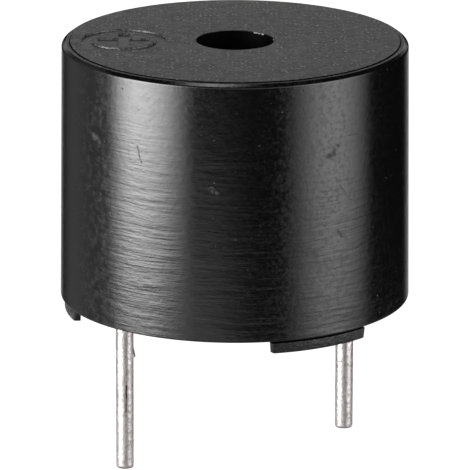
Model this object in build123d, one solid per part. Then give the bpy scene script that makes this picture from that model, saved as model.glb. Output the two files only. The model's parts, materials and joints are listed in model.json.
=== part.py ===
from build123d import *
import os
from math import cos, radians, sin, tan

# A piezo buzzer with its own drive circuit: a black moulded cup on three feet, with two leads underneath.
# Millimetres, +Z up. The feet stand on z = 0, and the pins stand on X at equal distances from the origin.

# Case, a cup that is open downwards
case_diameter = 12.0  # over the rim
case_height = 9.4  # seat to top
case_draft = 0.085  # taken off the radius between rim and top
case_wall = 0.9
case_lid = 0.85
case_top_bevel = 0.14
case_rim_bevel = 0.05
port_diameter = 2.64
port_edge_bevel = 0.05
front_cavity_height = 1.1  # lid to disc
disc_ledge_width = 0.6
seat_wall = 0.45  # what is left of the wall beside the board
seat_depth = 1.75  # rim to the step that the board stops on

# Feet, moulded on the rim: a wide one beside the positive pin, and a pair on the other half
foot_height = 0.45
foot_inset = 0.125
foot_thickness = 0.24
foot_end_slant = 0.06
wide_foot_width = 4.24
foot_width = 3.7
foot_bearing = 60  # degrees between the negative pin's side and either foot of the pair

# Polarity mark, sunk in the lid above the positive pin
mark_ring_diameter = 2.86
mark_line = 0.3
mark_plus_width = 0.38
mark_plus_span = 1.74
mark_depth = 0.07

# Pins
pin_inset = 2.2  # case edge to pin axis, which sets the pins 7.6 apart
pin_diameter = 0.62  # 0.6 wire and its tin
positive_pin_reach = 5.95  # below the seat
negative_pin_reach = 4.45
pin_stand = 0.75  # above the board
pin_tip_bevel = 0.08
pin_flat_length = 0.6  # the flattened stretch that stops a pin under the board
pin_flat_width = 0.95
pin_flat_thickness = 0.32

# Potting seal
potting_recess = 0.25  # rim to the flat of the seal
potting_creep = 0.1  # how far the resin climbs its walls
potting_creep_width = 0.4

# Circuit board and its copper
board_thickness = 0.8
board_clearance = 0.05
pin_hole_clearance = 0.06
copper_thickness = 0.035
track_width = 0.3
pin_pad_diameter = 1.4
wire_pad_width = 0.9
chip_pad_length = 0.6
chip_pad_width = 0.9
lead_pad_length = 0.7
lead_pad_width = 0.6
pin_joint_height = 0.5
pin_joint_margin = 0.05  # copper left bare round the solder

# Transistor, three leads
transistor_length = 2.9
transistor_width = 1.3
transistor_height = 1.0
transistor_gap = 0.06  # body to copper
transistor_slope = 7  # degrees
lead_width = 0.4
lead_thickness = 0.13
lead_pitch = 1.9
lead_span = 2.4
lead_foot = 0.32

# Resistors
resistor_length = 1.6
resistor_width = 0.8
resistor_height = 0.45
cap_length = 0.3
cap_thickness = 0.02

# Sounding disc
plate_thickness = 0.1
plate_clearance = 0.1
ground_ring = 1.4  # brass left bare outside the ceramic
ceramic_thickness = 0.12
electrode_margin = 0.2
electrode_thickness = 0.02
tongue_width = 1.3
tongue_length = 2.8
tongue_gap = 0.2
bond_width = 0.3
bond_drop = 0.35

# Wires, enamelled
wire_diameter = 0.25
wire_joint_diameter = 0.8
wire_joint_height = 0.3

# Places on the board, in shares of half the distance between the pins
transistor_place_shares = (0, 0)
resistor_place_shares = ((-0.42, -0.8), (-0.25, 0.72), (0.5, 0.85))
resistor_turns = (0, 0, 90)
ground_pad_shares = (0.55, -0.72)
drive_pad_shares = (0.12, -0.98)
feedback_pad_shares = (0.05, 1.1)

# Places on the disc, in shares of the ceramic's radius, and the ground wire's bearing in degrees
drive_spot_shares = (0.14, -0.75)
feedback_spot_shares = (0, 0.8)
ground_spot_bearing = -50

wire_corner_share = 0.28  # of the height between board and disc, at each end
corner_run_share = 0.45  # of the shorter run, taken by an arc

# Worked out from the sizes above
case_radius = case_diameter / 2
rim_z = foot_height
board_top = rim_z + seat_depth
board_bottom = board_top - board_thickness
copper_top = board_top + copper_thickness
lid_z = case_height - case_lid
ledge_z = lid_z - front_cavity_height
plate_z = ledge_z - plate_thickness
ceramic_z = plate_z - ceramic_thickness
electrode_z = ceramic_z - electrode_thickness

port_radius = port_diameter / 2
bore_radius = case_radius - case_wall
cavity_radius = bore_radius - disc_ledge_width
seat_radius = case_radius - seat_wall
board_radius = seat_radius - board_clearance
pin_radius = pin_diameter / 2
pin_hole_radius = pin_radius + pin_hole_clearance
plate_radius = bore_radius - plate_clearance
ceramic_radius = plate_radius - ground_ring
electrode_radius = ceramic_radius - electrode_margin
wire_radius = wire_diameter / 2

half_pitch = case_radius - pin_inset
positive_place = (-half_pitch, 0)
negative_place = (half_pitch, 0)


def on_board(shares):
    return (shares[0] * half_pitch, shares[1] * half_pitch)


def section(points):
    # a closed outline in (radius, height), standing in the XZ plane
    return Plane.XZ * make_face(Polyline(*points, close=True))


def corner(face, point):
    # the outline's vertex at (radius, height)
    place = Vector(point[0], 0, point[1])
    return face.vertices().sort_by_distance(place)[0]


def flared_ring(bore, foot, height):
    # a ring that thins out from a flat foot, like resin or solder climbing a wire
    return revolve(section([(bore, 0), (foot, 0), (bore, height)]), axis=Axis.Z)


def case():
    top_radius = case_radius - case_draft
    wall = section([
        (case_radius, rim_z),
        (top_radius, case_height),
        (port_radius, case_height),
        (port_radius, lid_z),
        (cavity_radius, lid_z),
        (cavity_radius, ledge_z),
        (bore_radius, ledge_z),
        (bore_radius, board_top),
        (seat_radius, board_top),
        (seat_radius, rim_z),
    ])
    wall = chamfer(corner(wall, (top_radius, case_height)), case_top_bevel)
    wall = chamfer(corner(wall, (case_radius, rim_z)), case_rim_bevel)
    wall = chamfer(corner(wall, (port_radius, case_height)), port_edge_bevel)
    cup = revolve(wall, axis=Axis.Z) + foot(180, wide_foot_width)
    for side in (1, -1):
        cup += foot(side * foot_bearing, foot_width)
    return cup - polarity_mark()


def foot(bearing, width):
    # a slice of a thin ring below the rim, narrower at the seat
    outer = case_radius - foot_inset
    ring = extrude(Circle(outer) - Circle(outer - foot_thickness), amount=rim_z)
    outward = (cos(radians(bearing)), sin(radians(bearing)), 0)
    along = (-sin(radians(bearing)), cos(radians(bearing)), 0)
    half = width / 2
    narrow = half - foot_end_slant
    outline = make_face(Polyline((-narrow, 0), (narrow, 0), (half, rim_z), (-half, rim_z), close=True))
    slice_plane = Plane(origin=(0, 0, 0), x_dir=along, z_dir=outward)
    return ring & extrude(slice_plane * outline, amount=case_radius)


def polarity_mark():
    outer = mark_ring_diameter / 2
    ring = Circle(outer) - Circle(outer - mark_line)
    plus = Rectangle(mark_plus_span, mark_plus_width) + Rectangle(mark_plus_width, mark_plus_span)
    floor = Pos(*positive_place, case_height - mark_depth)
    return extrude(floor * (ring + plus), amount=2 * mark_depth)


def pin(place, reach):
    # a round wire, flattened inside the seal, with its head through the board
    flat_z = board_bottom - pin_flat_length
    shank = Pos(0, 0, -reach) * extrude(Circle(pin_radius), amount=reach + flat_z)
    flat = Pos(0, 0, flat_z) * extrude(Rectangle(pin_flat_thickness, pin_flat_width), amount=pin_flat_length)
    head = Pos(0, 0, board_bottom) * extrude(Circle(pin_radius), amount=board_thickness + pin_stand)
    shank = chamfer(shank.edges().sort_by(Axis.Z)[0], pin_tip_bevel)
    return Pos(*place, 0) * (shank + flat + head)


def potting_seal():
    # resin up to the board, which climbs the case wall and the pins
    flat_z = rim_z + potting_recess
    creep_z = flat_z - potting_creep
    creep_radius = seat_radius - potting_creep_width
    seal = revolve(section([
        (0, flat_z),
        (creep_radius, flat_z),
        (seat_radius, creep_z),
        (seat_radius, board_bottom),
        (0, board_bottom),
    ]), axis=Axis.Z)
    collar = Rot(X=180) * flared_ring(pin_radius, pin_radius + potting_creep_width, potting_creep)
    for place in (positive_place, negative_place):
        seal -= pin(place, positive_pin_reach)
        seal += Pos(*place, flat_z) * collar
    return seal


def circuit_board():
    outline = Circle(board_radius)
    for place in (positive_place, negative_place):
        outline -= Pos(*place) * Circle(pin_hole_radius)
    return extrude(Pos(0, 0, board_bottom) * outline, amount=board_thickness)


def track(start, end):
    run = Vector(*end) - Vector(*start)
    bearing = Vector(1, 0).get_signed_angle(run, Vector(0, 0, 1))
    middle = Vector(*start) + run / 2
    return Pos(middle.X, middle.Y) * Rot(Z=bearing) * Rectangle(run.length, track_width)


def pin_edge(place, target):
    # the middle of a pin pad's ring, on the side of the next pad
    reach = (pin_hole_radius + pin_pad_diameter / 2) / 2
    edge = Vector(*place) + (Vector(*target) - Vector(*place)).normalized() * reach
    return edge.X, edge.Y


def resistor_ends(number):
    # the centres of a resistor's two pads, first the left or lower one
    x, y = on_board(resistor_place_shares[number])
    turn = radians(resistor_turns[number])
    half = (resistor_length - cap_length) / 2
    step = (half * cos(turn), half * sin(turn))
    return (x - step[0], y - step[1]), (x + step[0], y + step[1])


def lead_places():
    # where the transistor's collector, base and emitter leads stand
    x, y = on_board(transistor_place_shares)
    reach = (lead_span - lead_foot) / 2
    return (x - reach, y), (x + reach, y + lead_pitch / 2), (x + reach, y - lead_pitch / 2)


def board_tracks():
    supply_end, load_end = resistor_ends(0)
    bias_end, base_end = resistor_ends(1)
    tap_end, signal_end = resistor_ends(2)
    collector, base, emitter = lead_places()
    ground = on_board(ground_pad_shares)
    drive = on_board(drive_pad_shares)
    feedback = on_board(feedback_pad_shares)

    pin_pad = Circle(pin_pad_diameter / 2) - Circle(pin_hole_radius)
    wire_pad = Rectangle(wire_pad_width, wire_pad_width)
    chip_pad = Rectangle(chip_pad_length, chip_pad_width)
    upright_pad = Rectangle(chip_pad_width, chip_pad_length)
    lead_pad = Rectangle(lead_pad_length, lead_pad_width)
    nets = [
        [(pin_pad, positive_place), (chip_pad, supply_end)],
        [(chip_pad, load_end), (lead_pad, collector), (chip_pad, bias_end), (wire_pad, drive)],
        [(lead_pad, base), (chip_pad, base_end), (upright_pad, tap_end)],
        [(upright_pad, signal_end), (wire_pad, feedback)],
        [(pin_pad, negative_place), (lead_pad, emitter), (wire_pad, ground)],
    ]
    runs = [
        [(pin_edge(positive_place, supply_end), supply_end)],
        [(collector, load_end), (load_end, drive), (collector, bias_end)],
        [(base, tap_end), (base_end, tap_end)],
        [(signal_end, feedback)],
        [(pin_edge(negative_place, emitter), emitter), (emitter, ground)],
    ]
    copper = []
    for pads, lines in zip(nets, runs):
        shape = Sketch()
        for pad, place in pads:
            shape += Pos(*place) * pad
        for start, end in lines:
            shape += track(start, end)
        copper += extrude(Pos(0, 0, board_top) * shape, amount=copper_thickness).solids()
    return Compound(copper)


def pin_solder_joints():
    # each joint fills its hole and climbs the pin
    joints = []
    for place in (positive_place, negative_place):
        barrel = Circle(pin_hole_radius) - Circle(pin_radius)
        fill = Pos(*place, board_bottom) * extrude(barrel, amount=copper_top - board_bottom)
        foot = pin_pad_diameter / 2 - pin_joint_margin
        cone = flared_ring(pin_radius, foot, pin_joint_height)
        joints += (fill + Pos(*place, copper_top) * cone).solids()
    return Compound(joints)


def transistor_levels():
    # underside of the moulded body and of its parting band
    low = copper_top + transistor_gap
    return low, low + (transistor_height - lead_thickness) / 2


def transistor_body():
    x, y = on_board(transistor_place_shares)
    low, band = transistor_levels()
    outline = Rectangle(transistor_width, transistor_length)
    half = band - low
    middle = extrude(Pos(x, y, band) * outline, amount=lead_thickness)
    upper = extrude(Pos(x, y, band + lead_thickness) * outline, amount=half, taper=transistor_slope)
    lower = Pos(x, y, band) * Rot(X=180) * extrude(outline, amount=half, taper=transistor_slope)
    return middle + upper + lower


def transistor_leads():
    # each lead leaves the body's band, drops and stands on its pad
    body_x, body_y = on_board(transistor_place_shares)
    low, band = transistor_levels()
    side = transistor_width / 2
    tip = lead_span / 2
    heel = tip - lead_foot
    leads = []
    for place in lead_places():
        bent = section([
            (side, band),
            (heel - lead_thickness, band),
            (heel - lead_thickness, copper_top),
            (tip, copper_top),
            (tip, copper_top + lead_thickness),
            (heel, copper_top + lead_thickness),
            (heel, band + lead_thickness),
            (side, band + lead_thickness),
        ])
        bent = fillet(corner(bent, (heel, band + lead_thickness)), lead_thickness)
        lead = extrude(bent, amount=lead_width / 2, both=True)
        turn = 180 if place[0] < body_x else 0
        leads += (Pos(body_x, place[1], 0) * Rot(Z=turn) * lead).solids()
    return Compound(leads)


def resistor_block(length, margin):
    # a block round a resistor's centre, larger than its body by a margin on four sides
    width = resistor_width + 2 * margin
    height = resistor_height + 2 * margin
    return Box(length, width, height, align=(Align.CENTER, Align.CENTER, Align.MIN))


def resistor_seat(number):
    return Pos(*on_board(resistor_place_shares[number]), copper_top) * Rot(Z=resistor_turns[number])


def resistor_body(number):
    block = resistor_block(resistor_length - 2 * cap_thickness, 0)
    return resistor_seat(number) * Pos(0, 0, cap_thickness) * block


def resistor_caps(number):
    whole = resistor_block(resistor_length, cap_thickness)
    waist = resistor_block(resistor_length - 2 * cap_length, cap_thickness)
    return resistor_seat(number) * (whole - waist) - resistor_body(number)


def disc(radius, bottom, thickness):
    return Pos(0, 0, bottom) * extrude(Circle(radius), amount=thickness)


def tongue(margin):
    # the feedback electrode's outline, from the disc's edge to a round end, widened by a margin
    half = tongue_width / 2 + margin
    end = electrode_radius - tongue_length + tongue_width / 2
    strip = Pos(0, end) * Rectangle(2 * half, electrode_radius, align=(Align.CENTER, Align.MIN))
    return (strip + Pos(0, end) * Circle(half)) & Circle(electrode_radius)


def drive_electrode():
    field = Circle(electrode_radius) - tongue(tongue_gap)
    return extrude(Pos(0, 0, electrode_z) * field, amount=electrode_thickness)


def feedback_electrode():
    return extrude(Pos(0, 0, electrode_z) * tongue(0), amount=electrode_thickness)


def diaphragm_bond():
    # a bead that fills the gap round the plate and holds its lower edge to the wall
    return revolve(section([
        (plate_radius - bond_width, plate_z),
        (bore_radius, plate_z - bond_drop),
        (bore_radius, ledge_z),
        (plate_radius, ledge_z),
        (plate_radius, plate_z),
    ]), axis=Axis.Z)


def wire_ends():
    # each wire's pad on the board and spot on the disc, with the spot's height
    ground_reach = (ceramic_radius + plate_radius - bond_width) / 2
    bearing = radians(ground_spot_bearing)
    ground_spot = (ground_reach * cos(bearing), ground_reach * sin(bearing), plate_z)
    drive_spot = (drive_spot_shares[0] * ceramic_radius, drive_spot_shares[1] * ceramic_radius, electrode_z)
    feedback_spot = (
        feedback_spot_shares[0] * ceramic_radius,
        feedback_spot_shares[1] * ceramic_radius,
        electrode_z,
    )
    return {
        "ground_wire": (on_board(ground_pad_shares), ground_spot),
        "drive_wire": (on_board(drive_pad_shares), drive_spot),
        "feedback_wire": (on_board(feedback_pad_shares), feedback_spot),
    }


def wire(name, pad, spot):
    # up from the pad, across and up to the disc, with arcs as wide as the runs allow
    top = spot[2]
    rise = (top - copper_top) * wire_corner_share
    low_turn = Vector(*pad, copper_top + rise)
    high_turn = Vector(spot[0], spot[1], top - rise)
    turn = radians((high_turn - low_turn).get_angle(Vector(0, 0, 1)))
    radius = rise * corner_run_share / tan(turn / 2)
    path = FilletPolyline((*pad, copper_top), low_turn, high_turn, spot, radius=radius)
    print(name, "length", round(path.length, 3), "bend radius", round(radius, 3))
    return sweep(Plane(path @ 0, z_dir=path % 0) * Circle(wire_radius), path=path)


def wire_solder_joints():
    cone = flared_ring(wire_radius, wire_joint_diameter / 2, wire_joint_height)
    joints = []
    for pad, spot in wire_ends().values():
        joints += (Pos(*pad, copper_top) * cone).solids()
        joints += (Pos(*spot) * Rot(X=180) * cone).solids()
    return Compound(joints)


pieces = {
    "case": case(),
    "positive_pin": pin(positive_place, positive_pin_reach),
    "negative_pin": pin(negative_place, negative_pin_reach),
    "potting_seal": potting_seal(),
    "circuit_board": circuit_board(),
    "board_tracks": board_tracks(),
    "pin_solder_joints": pin_solder_joints(),
    "transistor_body": transistor_body(),
    "transistor_leads": transistor_leads(),
    "diaphragm_plate": disc(plate_radius, plate_z, plate_thickness),
    "piezo_ceramic": disc(ceramic_radius, ceramic_z, ceramic_thickness),
    "drive_electrode": drive_electrode(),
    "feedback_electrode": feedback_electrode(),
    "diaphragm_bond": diaphragm_bond(),
    "wire_solder_joints": wire_solder_joints(),
}
for number in range(len(resistor_place_shares)):
    name = "resistor_" + str(number + 1)
    pieces[name + "_body"] = resistor_body(number)
    pieces[name + "_caps"] = resistor_caps(number)
for name, (pad, spot) in wire_ends().items():
    pieces[name] = wire(name, pad, spot)

os.makedirs("parts", exist_ok=True)
for name, piece in pieces.items():
    export_step(piece, "parts/" + name + ".step")
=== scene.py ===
import json
import math

import bmesh
import bpy
from mathutils import Matrix, Vector, noise


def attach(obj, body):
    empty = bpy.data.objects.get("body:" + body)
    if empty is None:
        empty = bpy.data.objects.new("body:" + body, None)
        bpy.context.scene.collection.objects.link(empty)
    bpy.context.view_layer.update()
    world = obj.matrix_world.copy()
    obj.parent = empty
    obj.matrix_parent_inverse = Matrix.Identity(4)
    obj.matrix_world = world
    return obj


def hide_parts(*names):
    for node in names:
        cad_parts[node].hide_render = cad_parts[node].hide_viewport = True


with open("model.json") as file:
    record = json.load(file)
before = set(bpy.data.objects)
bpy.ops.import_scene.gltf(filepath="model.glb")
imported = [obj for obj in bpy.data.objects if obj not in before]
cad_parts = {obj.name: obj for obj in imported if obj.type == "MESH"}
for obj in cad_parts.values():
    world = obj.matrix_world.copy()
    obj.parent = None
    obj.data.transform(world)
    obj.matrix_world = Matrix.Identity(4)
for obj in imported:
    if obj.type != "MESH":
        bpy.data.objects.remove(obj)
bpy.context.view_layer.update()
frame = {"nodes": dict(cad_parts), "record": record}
cadNodes = frame["nodes"]
mm = 0.001
print("frame loaded,", len(cadNodes), "nodes")


# small helpers

def setInputs(tree, node, values):
    # each value goes to its socket, as a link where it comes from another node
    for name, value in values.items():
        if isinstance(value, bpy.types.NodeSocket):
            tree.links.new(value, node.inputs[name])
        else:
            node.inputs[name].default_value = value


def addNode(tree, kind, sockets=None, **settings):
    node = tree.nodes.new("ShaderNode" + kind)
    for name, value in settings.items():
        setattr(node, name, value)
    setInputs(tree, node, sockets or {})
    return node


def addMath(tree, operation, first, second, clamp=False):
    return addNode(tree, "Math", {0: first, 1: second}, operation=operation, use_clamp=clamp).outputs[0]


def addVector(tree, operation, first, second):
    return addNode(tree, "VectorMath", {0: first, 1: second}, operation=operation).outputs


def addRange(tree, value, low, high, toLow=0.0, toHigh=1.0):
    # eases from toLow to toHigh while the value goes from low to high
    sockets = {"Value": value, "From Min": low, "From Max": high, "To Min": toLow, "To Max": toHigh}
    return addNode(tree, "MapRange", sockets, interpolation_type="SMOOTHSTEP").outputs[0]


def addMix(tree, share, first, second):
    # the mix node takes colours at sockets 6 and 7, and gives one at 2
    return addNode(tree, "Mix", {0: share, 6: first, 7: second}, data_type="RGBA").outputs[2]


def addBump(tree, height, depth, strength, base=None):
    sockets = {"Height": height, "Distance": depth * mm, "Strength": strength}
    if base is not None:
        sockets["Normal"] = base
    return addNode(tree, "Bump", sockets).outputs[0]


def grey(level, warmth=0.0):
    return (level * (1 + warmth), level, level * (1 - warmth), 1)


def toMetres(point):
    return Vector(point) * mm


def newGroup(name, inputs, outputs):
    tree = bpy.data.node_groups.new(name, "ShaderNodeTree")
    for label, kind, value in inputs:
        socket = tree.interface.new_socket(name=label, in_out="INPUT", socket_type="NodeSocket" + kind)
        socket.default_value = value
    for label, kind in outputs:
        tree.interface.new_socket(name=label, in_out="OUTPUT", socket_type="NodeSocket" + kind)
    return tree, tree.nodes.new("NodeGroupInput").outputs, tree.nodes.new("NodeGroupOutput").inputs


def useGroup(tree, group, values):
    return addNode(tree, "Group", values, node_tree=group).outputs


def clearTree(owner, kind="OutputMaterial"):
    # the emptied nodes of a material or world, and the socket that its shader goes into
    owner.use_nodes = True
    tree = owner.node_tree
    tree.nodes.clear()
    return tree, addNode(tree, kind).inputs[0]


def newMaterial(name):
    material = bpy.data.materials.new(name)
    tree, surface = clearTree(material)
    shader = addNode(tree, "BsdfPrincipled")
    tree.links.new(shader.outputs[0], surface)
    place = addNode(tree, "TexCoord").outputs["Object"]
    return material, tree, shader, place


# effects that several finishes share

effects = {
    "noiseRoughness": 0.6,
    "noiseMiddle": 0.5,
    "wander": 260.0,  # of streaks, waves per metre
    "shake": 6000.0,  # of a scratch, waves per metre
    "gain": 2.5,  # spreads soft patches over 0 to 1
    "smallest": 0.3,  # speck, as a share of Radius
}


def buildStreaks():
    # fine lines along one direction: Stretch in waves per metre on each axis, Wave for how far they stray
    tree, given, out = newGroup(
        "streaks",
        [("Place", "Vector", (0, 0, 0)), ("Stretch", "Vector", (100, 100, 5000)), ("Detail", "Float", 3.0),
         ("Wave", "Float", 0.0)],
        [("Lines", "Float")],
    )
    drift = addNode(tree, "TexNoise", {"Vector": given["Place"], "Scale": effects["wander"], "Detail": 2.0})
    centred = addMath(tree, "SUBTRACT", drift.outputs["Fac"], effects["noiseMiddle"])
    moved = addVector(tree, "ADD", given["Place"], addMath(tree, "MULTIPLY", centred, given["Wave"]))[0]
    stretched = addVector(tree, "MULTIPLY", moved, given["Stretch"])[0]
    lines = addNode(tree, "TexNoise", {"Vector": stretched, "Scale": 1.0, "Detail": given["Detail"],
                                       "Roughness": effects["noiseRoughness"]})
    tree.links.new(lines.outputs["Fac"], out["Lines"])
    return tree


def buildSpecks():
    # dots over a flat: Cells per metre, Share of the cells that hold one, Radius as a share of a cell
    tree, given, out = newGroup(
        "specks",
        [("Flat", "Vector", (0, 0, 0)), ("Cells", "Float", 3000.0), ("Share", "Float", 0.2),
         ("Radius", "Float", 0.3)],
        [("Mask", "Float")],
    )
    cells = addNode(tree, "TexVoronoi", {"Vector": given["Flat"], "Scale": given["Cells"]},
                    voronoi_dimensions="2D")
    pick = addNode(tree, "SeparateColor", {0: cells.outputs["Color"]})
    chosen = addMath(tree, "LESS_THAN", pick.outputs[0], given["Share"])
    own = addMath(tree, "ADD", pick.outputs[1], effects["smallest"])
    size = addMath(tree, "MULTIPLY", given["Radius"], own)
    depth = addMath(tree, "DIVIDE", cells.outputs["Distance"], size)
    dot = addRange(tree, depth, 1.0, 0.5)
    tree.links.new(addMath(tree, "MULTIPLY", chosen, dot), out["Mask"])
    return tree


def buildScratch():
    # a ragged line from Start to End, in metres
    tree, given, out = newGroup(
        "scratch",
        [("Place", "Vector", (0, 0, 0)), ("Start", "Vector", (0, 0, 0)), ("End", "Vector", (0, 0, 0)),
         ("Width", "Float", 0.0001)],
        [("Mask", "Float")],
    )
    shake = addNode(tree, "TexNoise", {"Vector": given["Place"], "Scale": effects["shake"], "Detail": 2.0})
    centred = addMath(tree, "SUBTRACT", shake.outputs["Fac"], effects["noiseMiddle"])
    moved = addVector(tree, "ADD", given["Place"], addMath(tree, "MULTIPLY", centred, given["Width"]))[0]
    run = addVector(tree, "SUBTRACT", given["End"], given["Start"])[0]
    gone = addVector(tree, "SUBTRACT", moved, given["Start"])[0]
    across = addVector(tree, "DOT_PRODUCT", gone, run)["Value"]
    whole = addVector(tree, "DOT_PRODUCT", run, run)["Value"]
    share = addMath(tree, "DIVIDE", across, whole, clamp=True)
    foot = addNode(tree, "VectorMath", {0: run, "Scale": share}, operation="SCALE").outputs[0]
    away = addVector(tree, "DISTANCE", gone, foot)["Value"]
    edge = addMath(tree, "DIVIDE", away, given["Width"])
    tree.links.new(addRange(tree, edge, 1.0, 0.3), out["Mask"])
    return tree


def buildMottle():
    # soft patches between 0 and 1: Patches per metre, and more Contrast above 1
    tree, given, out = newGroup(
        "mottle",
        [("Place", "Vector", (0, 0, 0)), ("Patches", "Float", 2000.0), ("Detail", "Float", 4.0),
         ("Contrast", "Float", 1.0)],
        [("Value", "Float")],
    )
    blots = addNode(tree, "TexNoise", {"Vector": given["Place"], "Scale": given["Patches"],
                                       "Detail": given["Detail"], "Roughness": effects["noiseRoughness"]})
    centred = addMath(tree, "SUBTRACT", blots.outputs["Fac"], effects["noiseMiddle"])
    gain = addMath(tree, "MULTIPLY", given["Contrast"], effects["gain"])
    spread = addMath(tree, "MULTIPLY", centred, gain)
    tree.links.new(addMath(tree, "ADD", spread, effects["noiseMiddle"], clamp=True), out["Value"])
    return tree


streaks = buildStreaks()
specks = buildSpecks()
scratch = buildScratch()
mottle = buildMottle()


def addStreaks(tree, place, values):
    return useGroup(tree, streaks, {"Place": place, **values})["Lines"]


def addSpecks(tree, flat, values):
    return useGroup(tree, specks, {"Flat": flat, **values})["Mask"]


def addMottle(tree, place, values):
    return useGroup(tree, mottle, {"Place": place, **values})["Value"]


def addMarks(tree, place, marks, toPlace):
    # the strongest of the marks at each point
    found = 0.0
    for start, end, width, strength in marks.values():
        values = {"Place": place, "Start": toPlace(start), "End": toPlace(end), "Width": width * mm}
        line = useGroup(tree, scratch, values)["Mask"]
        found = addMath(tree, "MAXIMUM", addMath(tree, "MULTIPLY", line, strength), found)
    return found


# case: black moulded plastic, drawn round the side and matt on top
# a bump is its depth in millimetres and its strength

caseLooks = {
    "plastic": grey(0.003),
    "film": grey(0.05),
    "dust": grey(0.3, 0.03),
    # pale colour of the flecks on the port's burr, a painted highlight
    "burrGlint": grey(0.6),
    "ior": 1.55,
    "side": {
        "broadStreaks": {"Stretch": (400, 400, 4600), "Detail": 3.0, "Wave": 0.0004},
        "fineStreaks": {"Stretch": (900, 900, 12000), "Detail": 4.0, "Wave": 0.0004},
        "streaksFrom": 8.2,  # height where they begin to grow
        "streaksFull": 5.8,
        "streaksLeast": 0.12,  # strength above that
        "streaksTilt": 0.25,  # lower to the right
        "pebble": {"Patches": 5200.0, "Detail": 3.0},
        "patches": {"Patches": 420.0, "Detail": 3.0},
        "grain": {"Patches": 11000.0, "Detail": 2.0},
        "scuffs": {"Patches": 3800.0, "Detail": 5.0, "Contrast": 1.2},
        "rubbed": {"Patches": 6500.0, "Detail": 4.0, "Contrast": 1.2},
        "pits": {"Cells": 1300.0, "Share": 0.12, "Radius": 0.05},
        "dust": {"Cells": 2600.0, "Share": 0.25, "Radius": 0.06},
        "dustShare": 0.3,
        "haze": (0.02, 0.12),
        "roughness": (0.13, 0.2),
        "scuffRoughness": 0.14,
        "scuffedBearings": (-72, -56, -50, -42),  # start, full, fade and end, from the front
        "rubRoughness": 0.42,
        "rubbedBearings": (2, 20, 38, 52),
        "bumps": {"pebble": (0.003, 0.5), "broad": (0.014, 0.8), "fine": (0.004, 0.8), "wear": (0.01, 0.6)},
    },
    # painted shade for the hollows: far darker than the plastic, with almost no gloss
    "inside": {"grain": {"Patches": 5000.0, "Detail": 3.0}, "colours": (grey(0.0004), grey(0.0008)),
               "roughness": (0.4, 0.6), "gloss": 0.03, "bump": (0.004, 0.5)},
    # pale dots on the mark's walls: painted glints along its edges
    "markWallGlints": {"grain": {"Patches": 9000.0, "Detail": 3.0}, "colours": (grey(0.002), grey(0.12)),
               "roughness": (0.2, 0.36), "bump": (0.015, 0.9)},
    "footFace": {"grain": {"Patches": 7000.0, "Detail": 3.0}, "colours": (grey(0.002), grey(0.014)),
                 "roughness": (0.2, 0.34), "bump": (0.01, 0.9)},
    "topFace": {"roughness": (0.52, 0.6), "gloss": 0.41, "dust": 1.0},
    "markFloor": {"roughness": (0.5, 0.58), "gloss": 0.72, "dust": 0.1},
    "topDirt": {
        "grain": {"Patches": 11000.0, "Detail": 3.0},
        "cloud": {"Patches": 1600.0, "Detail": 5.0},
        "blotches": {"Patches": 3600.0, "Detail": 2.0},
        "dust": {"Cells": 6500.0, "Share": 0.6, "Radius": 0.26},
        "grit": {"Cells": 1500.0, "Share": 0.25, "Radius": 0.06},
        "dustShare": (0.1, 0.85),
        "gritShare": 0.75,
        "grainShare": 0.12,
        "blotchShare": 0.08,
        "bump": (0.015, 0.7),
    },
}

# pale marks of handling: bearing from the front and height at each end, then width and strength
sideMarks = {
    "nick": ((-33.3, 7.07), (-31.7, 6.5), 0.045, 0.7),
    "paleRub": ((-7.6, 5.8), (-5.6, 5.66), 0.13, 0.5),
    "scratchUpper": ((6.7, 1.3), (9.0, 0.87), 0.018, 0.14),
    "scratchLower": ((9.0, 0.87), (11.6, 0.51), 0.018, 0.14),
    "dotA": ((-39.5, 8.92), (-39.1, 8.9), 0.04, 0.7),
    "dotB": ((-33.0, 8.31), (-32.7, 8.3), 0.04, 0.7),
    "dotC": ((-39.1, 1.52), (-38.8, 1.5), 0.04, 0.7),
    "dotD": ((-24.2, 1.76), (-23.9, 1.75), 0.04, 0.7),
    "dotE": ((53.8, 1.4), (54.0, 1.38), 0.04, 0.8),
    "dotF": ((55.0, 0.77), (55.2, 0.75), 0.04, 0.8),
}
# places that are only rougher, without a paler colour
sideRubs = {
    "rubLow": ((31.9, 6.7), (33.8, 6.78), 0.17, 1.0),
    "rubHigh": ((33.6, 6.78), (35.4, 7.02), 0.13, 1.0),
    "rubLeft": ((-53.0, 6.97), (-50.3, 6.9), 0.17, 0.7),
    "rubFoot": ((35.5, 4.0), (37.0, 3.85), 0.09, 0.9),
    "lineHigh": ((39.0, 7.3), (47.0, 7.25), 0.03, 0.9),
    "lineLow": ((34.2, 5.98), (37.4, 5.45), 0.03, 0.8),
}
# on the top and at the port's edge, by their places in millimetres
topMarks = {"smudge": ((-3.2, -2.2), (-2.5, -2.15), 0.12, 0.25)}
# pale flecks on the port's rough burr: painted highlights where its edge catches the light
portBurrGlints = {
    "burrGlintA": ((0.66, 1.14, 9.37), (0.74, 1.09, 9.38), 0.05, 1.0),
    "burrGlintB": ((0.8, 1.05, 9.36), (0.84, 1.02, 9.37), 0.04, 0.8),
    "burrGlintC": ((0.92, 0.95, 9.36), (0.96, 0.91, 9.37), 0.05, 1.0),
    "burrGlintD": ((1.3, 0.24, 9.36), (1.31, 0.18, 9.37), 0.04, 0.7),
}

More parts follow.
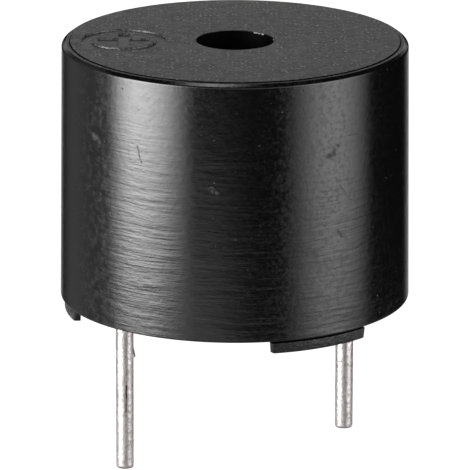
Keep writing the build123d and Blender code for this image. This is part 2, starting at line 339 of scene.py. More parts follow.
# lengths in millimetres, angles in degrees
caseShape = {
    "rimRadius": 6.0,
    "wallRadius": 5.9163,  # at the foot of the bevel
    "rimZ": 0.45,
    "topZ": 9.4,
    "bevel": 0.14,
    "bevelRound": 0.1,
    "lipZ": 9.365,
    "lipOuter": 5.765,
    "lipRound": 0.03,
    "stepOuter": 5.66,
    "stepMiddle": 5.64,
    "stepInner": 5.62,
    "stepDepth": 0.05,
    "stepRound": 0.005,
    "edgeRound": 0.05,
    "portRadius": 1.32,
    "lidZ": 8.55,
    "cavityRadius": 4.5,
    "ledgeZ": 7.45,
    "boreRadius": 5.1,
    "shelfZ": 2.2,
    "seatRadius": 5.55,
    "segments": 288,
    "sharpAngle": 50,
    "footOuter": 5.875,
    "footInner": 5.635,
    "footLean": 0.01,
    "footSlant": 0.06,
    "footRound": (0.05, 0.02),  # end edges, lower edges
    "footNeck": 5.765,
    "footShoulder": 0.35,
    "footRoot": 0.25,  # runs up into the rim
    "footSteps": 24,
    "feet": {180: 2.12, 300.7: 1.85, 59.3: 1.85},  # bearing and half width
    "markCentre": -3.8,
    "markOuter": 1.43,
    "markInner": 1.13,
    "markArm": 0.87,
    "markHalf": 0.19,
    "markDepth": 0.075,
    "markSoft": 0.03,
    "markSegments": 120,
}


def sideMaterial():
    material, tree, shader, place = newMaterial("caseSide")
    looks, bumps = caseLooks["side"], caseLooks["side"]["bumps"]
    radius = caseShape["rimRadius"] * mm
    axes = addNode(tree, "SeparateXYZ", {0: place}).outputs
    turn = addMath(tree, "ARCTAN2", axes[0], addMath(tree, "MULTIPLY", axes[1], -1.0))
    bearing = addMath(tree, "MULTIPLY", turn, math.degrees(1))
    flat = addNode(tree, "CombineXYZ", {0: addMath(tree, "MULTIPLY", turn, radius), 1: axes[2]}).outputs[0]

    def toFlat(point):
        return (math.radians(point[0]) * radius, point[1] * mm, 0)

    def zone(start, full, fade, end):
        grown = addRange(tree, bearing, start, full)
        return addMath(tree, "MULTIPLY", grown, addRange(tree, bearing, end, fade))

    broad = addStreaks(tree, place, looks["broadStreaks"])
    fine = addStreaks(tree, place, looks["fineStreaks"])
    pebble = addMottle(tree, place, looks["pebble"])
    patches = addMottle(tree, place, looks["patches"])
    grain = addMottle(tree, place, looks["grain"])
    scuffs = addMottle(tree, place, looks["scuffs"])
    rubbed = addMottle(tree, place, looks["rubbed"])
    pits = addSpecks(tree, flat, looks["pits"])
    dust = addSpecks(tree, flat, looks["dust"])
    marks = addMarks(tree, flat, sideMarks, toFlat)
    rubs = addMarks(tree, flat, sideRubs, toFlat)

    # the streaks grow from below the top edge, and come in patches
    height = addMath(tree, "ADD", axes[2], addMath(tree, "MULTIPLY", axes[0], looks["streaksTilt"]))
    start, full = looks["streaksFrom"] * mm, looks["streaksFull"] * mm
    drawn = addRange(tree, height, start, full, looks["streaksLeast"], 1.0)
    drawn = addMath(tree, "MULTIPLY", drawn, addRange(tree, patches, 0.1, 0.8, 0.45, 1.0))

    # rougher where it is scuffed and rubbed
    scuffed = addMath(tree, "MULTIPLY", addRange(tree, scuffs, 0.1, 1.0), zone(*looks["scuffedBearings"]))
    rubbed = addRange(tree, rubbed, 0.25, 1.0, 0.0, 0.4)
    rubbed = addMath(tree, "MULTIPLY", rubbed, zone(*looks["rubbedBearings"]))
    rubs = addMath(tree, "MULTIPLY", rubs, addRange(tree, scuffs, 0.1, 0.7, 0.1, 1.0))
    worn = addMath(tree, "MAXIMUM", rubs, rubbed)
    rough = addRange(tree, pebble, 0.1, 0.9, *looks["roughness"])
    rough = addMath(tree, "ADD", rough, addMath(tree, "MULTIPLY", scuffed, looks["scuffRoughness"]))
    rough = addMath(tree, "ADD", rough, addMath(tree, "MULTIPLY", worn, looks["rubRoughness"]))

    # pale with dust, marks and a faint haze
    haze = addRange(tree, patches, 0.3, 0.8, *looks["haze"])
    haze = addMath(tree, "MULTIPLY", addRange(tree, grain, 0.55, 1.0), haze)
    marks = addMath(tree, "MULTIPLY", marks, addRange(tree, grain, 0.1, 0.8, 0.3, 1.0))
    pale = addMath(tree, "MAXIMUM", marks, haze)
    pale = addMath(tree, "MAXIMUM", addMath(tree, "MULTIPLY", dust, looks["dustShare"]), pale)

    normal = addBump(tree, pebble, *bumps["pebble"])
    normal = addBump(tree, addMath(tree, "MULTIPLY", broad, drawn), *bumps["broad"], normal)
    normal = addBump(tree, addMath(tree, "MULTIPLY", fine, drawn), *bumps["fine"], normal)
    normal = addBump(tree, addMath(tree, "SUBTRACT", pale, pits), *bumps["wear"], normal)
    setInputs(tree, shader, {
        "Base Color": addMix(tree, pale, caseLooks["plastic"], caseLooks["film"]),
        "Roughness": addMath(tree, "MAXIMUM", rough, pale),
        "IOR": caseLooks["ior"],
        "Normal": normal,
    })
    return material


def paintedShadeInsideMaterial():
    # the bore, the port, the step in the top and the gap over the feet, painted near black with almost no
    # gloss as painted shade, since no light gets into them
    material, tree, shader, place = newMaterial("caseInsidePaintedShade")
    looks = caseLooks["inside"]
    grain = addMottle(tree, place, looks["grain"])
    # the port's burr gets pale flecks as painted highlights
    burrGlints = addMarks(tree, place, portBurrGlints, toMetres)
    black = addMix(tree, grain, *looks["colours"])
    setInputs(tree, shader, {
        "Base Color": addMix(tree, burrGlints, black, caseLooks["burrGlint"]),
        "Roughness": addRange(tree, grain, 0.0, 1.0, *looks["roughness"]),
        "IOR": caseLooks["ior"],
        "Specular IOR Level": looks["gloss"],
        "Normal": addBump(tree, grain, *looks["bump"]),
    })
    return material


def roughMaterial(name, looks):
    # the walls of the mark, with pale dots painted as glints along their edges, and the feet
    material, tree, shader, place = newMaterial(name)
    grain = addMottle(tree, place, looks["grain"])
    setInputs(tree, shader, {
        "Base Color": addMix(tree, grain, *looks["colours"]),
        "Roughness": addRange(tree, grain, 0.1, 0.9, *looks["roughness"]),
        "IOR": caseLooks["ior"],
        "Normal": addBump(tree, grain, *looks["bump"]),
    })
    return material


def topMaterial(name, looks):
    # the top, and the floor of the mark, which takes only a tenth of the top's dust and so shows darker
    material, tree, shader, place = newMaterial(name)
    dirt = caseLooks["topDirt"]

    def onTop(point):
        return (point[0] * mm, point[1] * mm, caseShape["topZ"] * mm)

    grain = addMottle(tree, place, dirt["grain"])
    cloud = addMottle(tree, place, dirt["cloud"])
    blotches = addMottle(tree, place, dirt["blotches"])
    dust = addSpecks(tree, place, dirt["dust"])
    grit = addSpecks(tree, place, dirt["grit"])
    marks = addMarks(tree, place, topMarks, onTop)
    film = addMath(tree, "MULTIPLY", dust, addRange(tree, cloud, 0.25, 0.85, *dirt["dustShare"]))
    film = addMath(tree, "MAXIMUM", film, addMath(tree, "MULTIPLY", grit, dirt["gritShare"]))
    film = addMath(tree, "MAXIMUM", film, addRange(tree, grain, 0.5, 1.0, 0.0, dirt["grainShare"]))
    film = addMath(tree, "MAXIMUM", film, addMath(tree, "MULTIPLY", marks, cloud))
    film = addMath(tree, "ADD", film, addRange(tree, blotches, 0.4, 0.95, 0.0, dirt["blotchShare"]))
    film = addMath(tree, "MULTIPLY", film, looks["dust"])
    setInputs(tree, shader, {
        "Base Color": addMix(tree, film, caseLooks["plastic"], caseLooks["dust"]),
        "Roughness": addRange(tree, cloud, 0.0, 1.0, *looks["roughness"]),
        "IOR": caseLooks["ior"],
        "Specular IOR Level": looks["gloss"],
        "Normal": addBump(tree, grain, *dirt["bump"]),
    })
    return material


def roundedOutline(corners, steps=8):
    # a closed (radius, height) outline whose corners have their own rounding
    points = []
    for index, (x, y, size) in enumerate(corners):
        here = Vector((x, y))
        if size == 0:
            points.append(here)
            continue
        before = (Vector(corners[index - 1][:2]) - here).normalized()
        after = (Vector(corners[(index + 1) % len(corners)][:2]) - here).normalized()
        half = before.angle(after) / 2
        reach = size / math.tan(half)
        centre = here + (before + after).normalized() * (size / math.sin(half))
        start = here + before * reach - centre
        sweep = start.angle_signed(here + after * reach - centre)
        for step in range(steps + 1):
            turned = Matrix.Rotation(-sweep * step / steps, 2) @ start
            points.append(centre + turned)
    return points


def latheMesh(outline, segments):
    # turns a closed outline in millimetres round Z
    shape = bmesh.new()
    rings = []
    for step in range(segments):
        turn = 2 * math.pi * step / segments
        rings.append([shape.verts.new((p.x * math.cos(turn) * mm, p.x * math.sin(turn) * mm, p.y * mm))
                      for p in outline])
    count = len(outline)
    for step in range(segments):
        here, there = rings[step], rings[(step + 1) % segments]
        for i in range(count):
            j = (i + 1) % count
            shape.faces.new((here[i], there[i], there[j], here[j]))
    bmesh.ops.recalc_face_normals(shape, faces=shape.faces)
    return shape


def toObject(name, shape):
    mesh = bpy.data.meshes.new(name)
    shape.to_mesh(mesh)
    shape.free()
    piece = bpy.data.objects.new(name, mesh)
    bpy.context.scene.collection.objects.link(piece)
    return piece


def footBlocks():
    # three slices of a thin ring with soft lower edges, each cut back a little where it meets the rim
    size = caseShape
    shape = bmesh.new()
    steps = size["footSteps"]
    top = size["rimZ"] + size["footRoot"]
    shoulder = size["footShoulder"]
    leastBend = 0.6  # radians, of an edge that is softened
    leastRise = 0.2 * mm  # of an upright edge
    section = ((size["footOuter"] - size["footLean"], 0), (size["footOuter"], shoulder),
               (size["footNeck"], shoulder), (size["footNeck"], top),
               (size["footInner"], top), (size["footInner"], 0))
    corners = len(section)
    for bearing, wide in size["feet"].items():
        made = bmesh.new()
        loops = []
        for step in range(steps + 1):
            share = 2 * step / steps - 1
            loop = []
            for radius, z in section:
                half = wide - size["footSlant"] * (1 - z / size["rimZ"])
                across = share * min(half, wide)
                out = math.sqrt(radius ** 2 - across ** 2)
                loop.append(made.verts.new((out * mm, across * mm, z * mm)))
            loops.append(loop)
        for first, second in zip(loops, loops[1:]):
            for i in range(corners):
                j = (i + 1) % corners
                made.faces.new((first[i], second[i], second[j], first[j]))
        made.faces.new(loops[0])
        made.faces.new(loops[-1])
        bmesh.ops.recalc_face_normals(made, faces=made.faces)
        for upright, soft in zip((True, False), size["footRound"]):
            sharp = [e for e in made.edges if e.calc_face_angle(0) > leastBend
                     and min(v.co.z for v in e.verts) < 0.5 * shoulder * mm
                     and (abs(e.verts[0].co.z - e.verts[1].co.z) > leastRise) == upright]
            bmesh.ops.bevel(made, geom=sharp, offset=soft * mm, segments=3, profile=0.5,
                            affect="EDGES", clamp_overlap=True)
        made.transform(Matrix.Rotation(math.radians(bearing), 4, "Z"))
        mesh = bpy.data.meshes.new("foot")
        made.to_mesh(mesh)
        made.free()
        shape.from_mesh(mesh)
        bpy.data.meshes.remove(mesh)
    return toObject("feet", shape)


def markCutter():
    # a ring and a plus, as tall as twice the mark's depth, wider from just below the top on
    size = caseShape
    low = size["topZ"] - size["markDepth"]
    bend = size["topZ"] - size["markSoft"]
    high = size["topZ"] + size["markDepth"]
    flare = high - bend
    inner, outer = size["markInner"], size["markOuter"]
    ring = [Vector(p) for p in ((inner, low), (outer, low), (outer, bend), (outer + flare, high),
                                (inner - flare, high), (inner, bend))]
    shape = latheMesh(ring, size["markSegments"])
    loops = []
    for z, grow in ((low, 0), (bend, 0), (high, flare)):
        arm, half = size["markArm"] + grow, size["markHalf"] + grow
        outline = [(arm, -half), (arm, half), (half, half), (half, arm), (-half, arm), (-half, half),
                   (-arm, half), (-arm, -half), (-half, -half), (-half, -arm), (half, -arm), (half, -half)]
        loops.append([shape.verts.new((x * mm, y * mm, z * mm)) for x, y in outline])
    shape.faces.new(loops[0])
    shape.faces.new(loops[-1])
    for first, second in zip(loops, loops[1:]):
        for i in range(len(first)):
            j = (i + 1) % len(first)
            shape.faces.new((first[i], first[j], second[j], second[i]))
    bmesh.ops.recalc_face_normals(shape, faces=shape.faces)
    shape.transform(Matrix.Translation((size["markCentre"] * mm, 0, 0)))
    return toObject("mark", shape)


def applyModifiers(piece):
    # the finished mesh takes the place of the plain one, with no face of more than four corners
    seen = piece.evaluated_get(bpy.context.evaluated_depsgraph_get())
    mesh = bpy.data.meshes.new_from_object(seen)
    piece.modifiers.clear()
    shape = bmesh.new()
    shape.from_mesh(mesh)
    bmesh.ops.triangulate(shape, faces=[f for f in shape.faces if len(f.verts) > 4])
    bmesh.ops.dissolve_degenerate(shape, dist=0.0001 * mm, edges=shape.edges)  # faces with no area
    shape.to_mesh(mesh)
    shape.free()
    piece.data = mesh


def caseOutline():
    # up the wall, over the lip and the step to the port, and back down the bore
    size = caseShape
    soft = size["edgeRound"]
    return roundedOutline([
        (size["rimRadius"], size["rimZ"], soft),
        (size["wallRadius"], size["topZ"] - size["bevel"], size["bevelRound"]),
        (size["lipOuter"], size["lipZ"], size["lipRound"]),
        (size["stepOuter"], size["lipZ"], size["stepRound"]),
        (size["stepMiddle"], size["topZ"] - size["stepDepth"], 0),
        (size["stepInner"], size["topZ"], size["stepRound"]),
        (size["portRadius"], size["topZ"], soft),
        (size["portRadius"], size["lidZ"], 0),
        (size["cavityRadius"], size["lidZ"], 0),
        (size["cavityRadius"], size["ledgeZ"], 0),
        (size["boreRadius"], size["ledgeZ"], 0),
        (size["boreRadius"], size["shelfZ"], 0),
        (size["seatRadius"], size["shelfZ"], 0),
        (size["seatRadius"], size["rimZ"], soft),
    ])


def faceFinish(face):
    # the finish that a face of the case takes, by its place and the way it faces
    size = caseShape
    slack = 0.01
    flatness = 0.75  # upward share of the normal, from which a face counts as flat
    across = face.center.xy.length / mm
    z = face.center.z / mm
    fromMark = math.hypot(face.center.x / mm - size["markCentre"], face.center.y / mm)
    inMark = fromMark < size["markOuter"] + size["markSoft"] + 2 * slack
    onTop = z > size["topZ"] - size["markDepth"] - 2 * slack
    flat = onTop and face.normal.z > flatness
    if flat and inMark and z < size["topZ"] - size["markDepth"] / 2:
        return "mark"
    if flat and (across < size["stepInner"] or size["stepOuter"] < across < size["lipOuter"]):
        return "top"
    # the step in the top takes the painted shade
    if onTop and size["stepInner"] < across < size["stepOuter"]:
        return "inside"
    # the mark's walls, with their painted glints
    if onTop and inMark and abs(face.normal.z) < flatness:
        return "markWallGlints"
    if z < size["footShoulder"] and across > size["footNeck"]:
        return "foot"
    # the bore, the port and the gap over the feet take the painted shade
    bore = across < size["seatRadius"] + slack and not onTop
    port = across < size["portRadius"] + slack
    gap = across < size["footNeck"] + slack and size["footShoulder"] < z < size["rimZ"]
    return "inside" if bore or port or gap else "side"


def buildCase():
    size = caseShape
    piece = toObject("buzzerCase", latheMesh(caseOutline(), size["segments"]))
    helpers = [(footBlocks(), "UNION"), (markCutter(), "DIFFERENCE")]
    for helper, operation in helpers:
        cut = piece.modifiers.new(operation, "BOOLEAN")
        cut.object = helper
        cut.operation = operation
        cut.solver = "EXACT"
    applyModifiers(piece)
    for helper, operation in helpers:
        bpy.data.objects.remove(helper)
    finishes = {
        "side": sideMaterial(),
        "top": topMaterial("caseTop", caseLooks["topFace"]),
        "inside": paintedShadeInsideMaterial(),
        "markWallGlints": roughMaterial("caseMarkWallGlints", caseLooks["markWallGlints"]),
        "foot": roughMaterial("caseFoot", caseLooks["footFace"]),
        "mark": topMaterial("caseMark", caseLooks["markFloor"]),
    }
    mesh = piece.data
    mesh.materials.clear()
    for material in finishes.values():
        mesh.materials.append(material)
    mesh.shade_smooth()
    mesh.set_sharp_from_angle(angle=math.radians(size["sharpAngle"]))
    order = list(finishes)
    meets = {}
    for face in mesh.polygons:
        finish = faceFinish(face)
        face.material_index = order.index(finish)
        for pair in face.edge_keys:
            meets.setdefault(pair, set()).add(finish)
    for edge in mesh.edges:
        if meets[edge.key] == {"top", "markWallGlints"}:  # the mark's edge, so that the top stays flat beside it
            edge.use_edge_sharp = True
    even = piece.modifiers.new("even", "WEIGHTED_NORMAL")
    even.keep_sharp = True
    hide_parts("case")
    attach(piece, "root")
    print("case built,", len(mesh.polygons), "faces")


buildCase()


# pins: drawn wire in uneven tin, the long one nicked when it was cut free

pinLooks = {
    "tin": (0.7, 0.665, 0.65, 1),
    "worn": (0.4, 0.345, 0.325, 1),
    "dark": (0.06, 0.055, 0.05, 1),
    "roughness": (0.3, 0.42),
    "lines": {"Stretch": (9000, 9000, 260), "Detail": 3.0},
    "patches": {"Patches": 2600.0},
    "grain": {"Patches": 8500.0, "Detail": 3.0},
    "bumps": {"patches": (0.016, 0.5), "grain": (0.009, 0.6), "lines": (0.002, 0.3)},
    "scratches": {
        "deep": ((-3.741, -0.304, -2.9), (-3.744, -0.305, -3.35), 0.045, 1.0),
        "faint": ((-3.744, -0.305, -3.35), (-3.752, -0.306, -3.85), 0.035, 0.6),
    },
}
pinShape = {
    "radius": 0.31,
    "tipRound": 0.08,
    "tipSteps": 6,
    "flatLow": 0.8,
    "flatHigh": 1.4,
    "flatHalf": (0.16, 0.475),
    "headZ": 2.95,
    "segments": 96,
    "sharpAngle": 40,
    "ringGap": 0.07,
    "unevenness": 0.006,
    "dents": (1.4, 1.6),  # how close they come, round the wire and along it
    "nick": {"high": -1.6, "low": -1.92, "end": -1.95, "out": 0.07, "spread": 22},
    "pins": {
        "longPin": {"node": "positive_pin", "x": -3.8, "reach": 5.95, "nicked": True},
        "shortPin": {"node": "negative_pin", "x": 3.8, "reach": 4.45, "nicked": False},
    },
}


def tinMaterial():
    material, tree, shader, place = newMaterial("tin")
    bumps = pinLooks["bumps"]
    lines = addStreaks(tree, place, pinLooks["lines"])
    patches = addMottle(tree, place, pinLooks["patches"])
    grain = addMottle(tree, place, pinLooks["grain"])
    scratches = addMarks(tree, place, pinLooks["scratches"], toMetres)
    worn = addRange(tree, addMath(tree, "ADD", patches, lines), 0.5, 1.5, 0.1, 1.0)
    worn = addMath(tree, "MULTIPLY", addRange(tree, grain, 0.4, 0.8), worn)
    colour = addMix(tree, worn, pinLooks["tin"], pinLooks["worn"])
    normal = addBump(tree, patches, *bumps["patches"])
    normal = addBump(tree, grain, *bumps["grain"], normal)
    normal = addBump(tree, lines, *bumps["lines"], normal)
    setInputs(tree, shader, {
        "Base Color": addMix(tree, scratches, colour, pinLooks["dark"]),
        "Metallic": 1.0,
        "Roughness": addRange(tree, patches, 0.0, 1.0, *pinLooks["roughness"]),
        "Normal": normal,
    })
    return material


def pinRings(reach):
    # (height, radius) up the wire; a radius of 0 is the flattened stretch
    size, nick = pinShape, pinShape["nick"]
    radius, tip, steps = size["radius"], size["tipRound"], size["tipSteps"]
    rings = []
    for step in range(steps + 1):
        turn = math.pi / 2 * step / steps
        rings.append((-reach + tip * (1 - math.cos(turn)), radius - tip * (1 - math.sin(turn))))
    start = -reach + tip
    count = math.ceil((size["flatLow"] - start) / size["ringGap"])
    heights = [start + (size["flatLow"] - start) * step / count for step in range(1, count + 1)]
    rings += [(z, radius) for z in sorted(heights + [nick["low"], nick["end"]])]
    rings += [(size["flatLow"], 0), (size["flatHigh"], 0)]
    rings += [(size["flatHigh"], radius), (size["headZ"], radius)]
    return rings


def pinSurface(pin, way, z, radius):
    # how far out the wire reaches: a box where it is flattened, uneven tin below that, and the nick's burr
    size, nick = pinShape, pinShape["nick"]
    if not radius:
        tiny = 1e-6
        halfX, halfY = size["flatHalf"]
        return min(halfX / max(abs(way.x), tiny), halfY / max(abs(way.y), tiny))
    if z >= size["flatLow"]:
        return radius
    around, along = size["dents"]
    dent = noise.noise(Vector((way.x * around + pin["x"], way.y * around, z * along)))
    out = radius - size["unevenness"] * (0.5 - 0.5 * dent)
    if pin["nicked"] and nick["end"] < z < nick["high"]:
        burr = nick["out"] * (nick["high"] - z) / (nick["high"] - nick["low"])
        away = math.degrees(math.atan2(way.y, way.x)) / nick["spread"]
        out += burr * math.exp(-away * away)
    return out


def buildPin(name, pin, material):
    shape = bmesh.new()
    segments = pinShape["segments"]
    loops = []
    for z, radius in pinRings(pin["reach"]):
        loop = []
        for step in range(segments):
            turn = 2 * math.pi * step / segments
            way = Vector((math.cos(turn), math.sin(turn), 0))
            spot = way * pinSurface(pin, way, z, radius) + Vector((pin["x"], 0, z))
            loop.append(shape.verts.new(spot * mm))
        loops.append(loop)
    for first, second in zip(loops, loops[1:]):
        for i in range(segments):
            j = (i + 1) % segments
            shape.faces.new((first[i], first[j], second[j], second[i]))
    shape.faces.new(list(reversed(loops[0])))
    shape.faces.new(loops[-1])
    bmesh.ops.recalc_face_normals(shape, faces=shape.faces)
    piece = toObject(name, shape)
    piece.data.materials.append(material)
    piece.data.shade_smooth()
    piece.data.set_sharp_from_angle(angle=math.radians(pinShape["sharpAngle"]))
    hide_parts(pin["node"])
    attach(piece, "root")


tin = tinMaterial()
for name, pin in pinShape["pins"].items():
    buildPin(name, pin, tin)
print("pins built")


# finishes of the pieces inside: colours, roughness, patches per metre, depth of the bump and lines per metre

innerFinishes = {
    "resin": {"colours": (grey(0.012), grey(0.03)), "rough": (0.08, 0.25), "patches": 900, "metal": 0,
              "bump": 0.02, "lines": None},
    "board": {"colours": ((0.16, 0.25, 0.09, 1), (0.24, 0.33, 0.15, 1)), "rough": (0.4, 0.6),
              "patches": 3000, "metal": 0, "bump": 0.004, "lines": (4000, 250, 250)},
    "copper": {"colours": ((0.72, 0.4, 0.26, 1), (0.5, 0.25, 0.16, 1)), "rough": (0.25, 0.5),
               "patches": 2500, "metal": 1, "bump": 0.003, "lines": (6000, 300, 300)},
    "solder": {"colours": (grey(0.72), grey(0.5)), "rough": (0.18, 0.45), "patches": 3500, "metal": 1,
               "bump": 0.008, "lines": None},
    "chip_black": {"colours": (grey(0.02), grey(0.035)), "rough": (0.45, 0.65), "patches": 9000, "metal": 0,
                   "bump": 0.006, "lines": None},
    "chip_ceramic": {"colours": (grey(0.03), grey(0.09)), "rough": (0.25, 0.5), "patches": 5000, "metal": 0,
                     "bump": 0.003, "lines": None},
    "brass": {"colours": ((0.78, 0.58, 0.25, 1), (0.62, 0.43, 0.17, 1)), "rough": (0.22, 0.42),
              "patches": 1200, "metal": 1, "bump": 0.003, "lines": (300, 7000, 300)},
    "piezo_ceramic": {"colours": ((0.62, 0.55, 0.4, 1), (0.5, 0.44, 0.31, 1)), "rough": (0.55, 0.75),
                      "patches": 6000, "metal": 0, "bump": 0.006, "lines": None},
    "silver": {"colours": (grey(0.82, 0.02), grey(0.66, 0.03)), "rough": (0.35, 0.6),
               "patches": 4500, "metal": 1, "bump": 0.004, "lines": None},
    "silicone": {"colours": (grey(0.7), grey(0.56)), "rough": (0.3, 0.5), "patches": 1500, "metal": 0,
                 "bump": 0.015, "lines": None},
    "enamel": {"colours": ((0.5, 0.17, 0.06, 1), (0.32, 0.09, 0.03, 1)), "rough": (0.12, 0.3),
               "patches": 3000, "metal": 0, "bump": 0.002, "lines": None},
}
innerBumps = {"patches": 0.5, "lines": 0.6}  # strengths


def innerMaterial(slot, looks):
    material, tree, shader, place = newMaterial(slot)
    patches = addMottle(tree, place, {"Patches": looks["patches"]})
    normal = addBump(tree, patches, looks["bump"], innerBumps["patches"])
    if looks["lines"]:
        lines = addStreaks(tree, place, {"Stretch": looks["lines"], "Detail": 2.0})
        normal = addBump(tree, lines, looks["bump"], innerBumps["lines"], normal)
    setInputs(tree, shader, {
        "Base Color": addMix(tree, patches, *looks["colours"]),
        "Metallic": looks["metal"],
        "Roughness": addRange(tree, patches, 0.0, 1.0, *looks["rough"]),
        "Normal": normal,
    })
    return material


def dressNodes():
    finishes = {slot: innerMaterial(slot, looks) for slot, looks in innerFinishes.items()}
    finishes["tinned_wire"] = tin
    for entry in frame["record"]["subparts"]:
        slot = entry["material_slot"]
        if slot not in finishes:
            continue
        mesh = cadNodes[entry["node"]].data
        mesh.materials.clear()
        mesh.materials.append(finishes[slot])
    print("finishes set,", len(finishes))


dressNodes()


# studio: pale floor, soft boxes, and a surround that only reflections see

studio = {
    "floorZ": -45,
    "floorSize": 3000,
    "floorColour": grey(0.86),
    "floorLift": 0.6,
    "fill": 0.55,
    "boxes": {
        "leftBox": {"azimuth": -64, "distance": 90, "width": 45, "low": -26, "high": 80, "radiance": 4.0},
        "leftFade": {"azimuth": -39, "distance": 92, "width": 35, "low": -26, "high": 80, "radiance": 0.6},
        "rightBox": {"azimuth": 71, "distance": 90, "width": 42, "low": -32, "high": 80, "radiance": 1.5},
        "rightFade": {"azimuth": 48, "distance": 92, "width": 32, "low": -32, "high": 80, "radiance": 0.5},
    },
    "plates": {"ceilingCard": (84.5, 0.0), "underCard": (-44.5, 0.25)},  # height and level
    "overhead": {"centre": (-9, 6, 84), "reach": (17, 15), "level": 5.0},  # brightest in its middle
    "cardTurns": range(0, 360, 10),
}

# the surround: black flats under a pale sky and backdrop, on which the boxes' faces and the paper glow;
# azimuths run start, full, fade, end, and heights from none to full
surround = {
    "distance": 92,
    "low": -44.5,
    "high": 84.5,
    "columns": 240,
    "rows": 64,
    "level": 0.003,
    "frontSky": {"reach": (90, 100), "heights": (27, 29), "level": 0.8},
    "backdrop": {"reach": (15, 32), "heights": (16, 24), "level": 1.03},
    "glows": {
        "left": {"azimuths": (-92, -66, -62, -24), "heights": (-33, -9), "level": 12.5},
        "leftRear": {"azimuths": (-181, -180, -170, -152), "heights": (0, -10), "level": 0.5},
        "leftSpill": {"azimuths": (-158, -124, -76, -56), "heights": (-50, -45), "level": 0.25},
        "front": {"azimuths": (-45, -28, -24, 18), "heights": (-10, -23), "level": 0.72},
        "right": {"azimuths": (29, 64, 66, 101), "heights": (-36, -18), "level": 3.3},
        "rightRear": {"azimuths": (146, 170, 180, 181), "heights": (0, -10), "level": 0.5},
        "frontPaper": {"azimuths": (-70, -50, 60, 80), "heights": (-30, -35), "level": 0.75},
        "leftPaper": {"azimuths": (-181, -180, -80, -60), "heights": (-30, -35), "level": 0.5},
        "rightPaper": {"azimuths": (70, 100, 180, 181), "heights": (-31, -35), "level": 0.9},
    },
}


def seenWhite(tree):
    # 1 for the rays that see the background: camera, mirror and see-through
    path = addNode(tree, "LightPath").outputs
    seen = addMath(tree, "ADD", path["Is Camera Ray"], path["Is Glossy Ray"])
    return addMath(tree, "ADD", seen, path["Is Transmission Ray"], clamp=True)


def buildWorld():
    world = bpy.data.worlds.new("studioWorld")
    tree, surface = clearTree(world, "OutputWorld")
    fill = addNode(tree, "Background", {"Color": grey(1), "Strength": studio["fill"]})
    white = addNode(tree, "Background", {"Color": grey(1), "Strength": 1.0})
    mix = addNode(tree, "MixShader", {0: seenWhite(tree), 1: fill.outputs[0], 2: white.outputs[0]})
    tree.links.new(mix.outputs[0], surface)
    bpy.context.scene.world = world


def buildFloor():
    # seen from below, the paper is clear
    half = studio["floorSize"] / 2 * mm
    shape = bmesh.new()
    corners = [shape.verts.new((x * half, y * half, studio["floorZ"] * mm))
               for x, y in ((-1, -1), (1, -1), (1, 1), (-1, 1))]
    shape.faces.new(corners)
    floor = toObject("floor", shape)
    material = bpy.data.materials.new("floorPaper")
    tree, surface = clearTree(material)
    paper = addNode(tree, "BsdfDiffuse", {"Color": studio["floorColour"]})
    lift = addMath(tree, "MULTIPLY", seenWhite(tree), studio["floorLift"])
    glow = addNode(tree, "Emission", {"Color": grey(1), "Strength": lift})
    both = addNode(tree, "AddShader", {0: paper.outputs[0], 1: glow.outputs[0]})
    clear = addNode(tree, "BsdfTransparent")
    under = addNode(tree, "NewGeometry").outputs["Backfacing"]
    mix = addNode(tree, "MixShader", {0: under, 1: both.outputs[0], 2: clear.outputs[0]})
    tree.links.new(mix.outputs[0], surface)
    floor.data.materials.append(material)


def towards(azimuth, distance, z):
    # azimuth 0 is in front of the object, and grows to the right
    turn = math.radians(azimuth)
    return Vector((math.sin(turn) * distance, -math.cos(turn) * distance, z)) * mm


def addBox(name, box):
    lamp = bpy.data.lights.new(name, "AREA")
    lamp.shape = "RECTANGLE"
    lamp.size = box["width"] * mm
    lamp.size_y = (box["high"] - box["low"]) * mm
    lamp.energy = box["radiance"] * math.pi * lamp.size * lamp.size_y
    piece = bpy.data.objects.new(name, lamp)
    piece.location = towards(box["azimuth"], box["distance"], (box["high"] + box["low"]) / 2)
    piece.rotation_euler = (math.radians(90), 0, math.radians(box["azimuth"]))
    piece.visible_camera = False
    piece.visible_glossy = False  # the surround stands in for it there
    bpy.context.scene.collection.objects.link(piece)


def setCard(piece, level=None):
    # a card with no level of its own has it at its points
    material = bpy.data.materials.new(piece.name)
    tree, surface = clearTree(material)
    if level is None:
        level = addNode(tree, "Attribute", attribute_name="glow").outputs["Fac"]
    glow = addNode(tree, "Emission", {"Color": grey(1), "Strength": level})
    tree.links.new(glow.outputs[0], surface)
    piece.data.materials.append(material)
    piece.visible_camera = False
    piece.visible_diffuse = False
    piece.visible_shadow = False
    piece.visible_transmission = False


def ease(value, start, end):
    share = min(max((value - start) / (end - start), 0), 1)
    return share * share * (3 - 2 * share)


def surroundGlow(azimuth, z):
    total = surround["level"]
    for sky, turned in ((surround["frontSky"], abs(azimuth)), (surround["backdrop"], 180 - abs(azimuth))):
        total += sky["level"] * (1 - ease(turned, *sky["reach"])) * ease(z, *sky["heights"])
    for glow in surround["glows"].values():
        start, full, fade, end = glow["azimuths"]
        share = ease(azimuth, start, full) * (1 - ease(azimuth, fade, end))
        total += glow["level"] * share * ease(z, *glow["heights"])
    return total


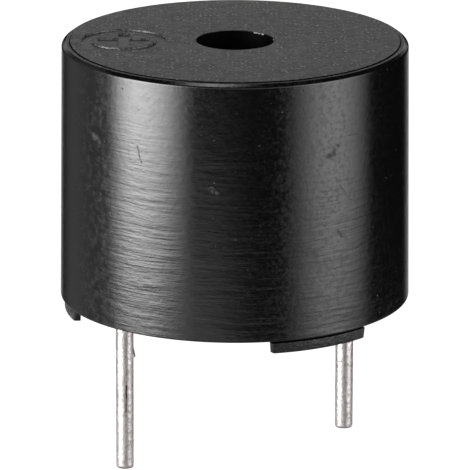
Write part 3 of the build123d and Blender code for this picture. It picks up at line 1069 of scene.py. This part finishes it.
def buildSurround():
    shape = bmesh.new()
    glow = shape.verts.layers.float.new("glow")
    around, up = surround["columns"], surround["rows"]
    columns = []
    for step in range(around + 1):
        azimuth = 360 * step / around - 180
        column = []
        for rise in range(up + 1):
            z = surround["low"] + (surround["high"] - surround["low"]) * rise / up
            vert = shape.verts.new(towards(azimuth, surround["distance"], z))
            vert[glow] = surroundGlow(azimuth, z)
            column.append(vert)
        columns.append(column)
    for first, second in zip(columns, columns[1:]):
        for i in range(up):
            shape.faces.new((first[i], second[i], second[i + 1], first[i + 1]))
    setCard(toObject("surround", shape))


def flatCard(name, z, level):
    shape = bmesh.new()
    reach = surround["distance"]
    shape.faces.new([shape.verts.new(towards(turn, reach, z)) for turn in studio["cardTurns"]])
    setCard(toObject(name, shape), level)


def overheadCard():
    card = studio["overhead"]
    middle = Vector(card["centre"])
    shape = bmesh.new()
    glow = shape.verts.layers.float.new("glow")
    hub = shape.verts.new(middle * mm)
    hub[glow] = card["level"]
    rim = []
    for degrees in studio["cardTurns"]:
        turn = math.radians(degrees)
        offset = Vector((card["reach"][0] * math.cos(turn), card["reach"][1] * math.sin(turn), 0))
        rim.append(shape.verts.new((middle + offset) * mm))
    for first, second in zip(rim, rim[1:] + rim[:1]):
        shape.faces.new((hub, second, first))
    setCard(toObject("overheadCard", shape))


buildWorld()
buildFloor()
for name, box in studio["boxes"].items():
    addBox(name, box)
buildSurround()
for name, (z, level) in studio["plates"].items():
    flatCard(name, z, level)
overheadCard()
print("studio set")


# camera, fitted to the photograph's outline

cameraShape = {
    "eye": (-0.012, -187.17, 57.54),
    "aim": (0.008, 0.0, 2.471),
    "lens": 434.3,
    "sensor": 36,
    "roll": 0.128,
    "clip": (0.01, 10),  # in metres
}


def buildCamera():
    lens = bpy.data.cameras.new("photoCamera")
    lens.lens = cameraShape["lens"]
    lens.sensor_width = cameraShape["sensor"]
    lens.clip_start, lens.clip_end = cameraShape["clip"]
    camera = bpy.data.objects.new("photoCamera", lens)
    eye = toMetres(cameraShape["eye"])
    look = (toMetres(cameraShape["aim"]) - eye).to_track_quat("-Z", "Y")
    camera.rotation_mode = "QUATERNION"
    roll = Matrix.Rotation(math.radians(cameraShape["roll"]), 3, "Z").to_quaternion()
    camera.rotation_quaternion = look @ roll
    camera.location = eye
    bpy.context.scene.collection.objects.link(camera)
    bpy.context.scene.camera = camera


buildCamera()
bpy.context.scene.view_settings.view_transform = "Standard"
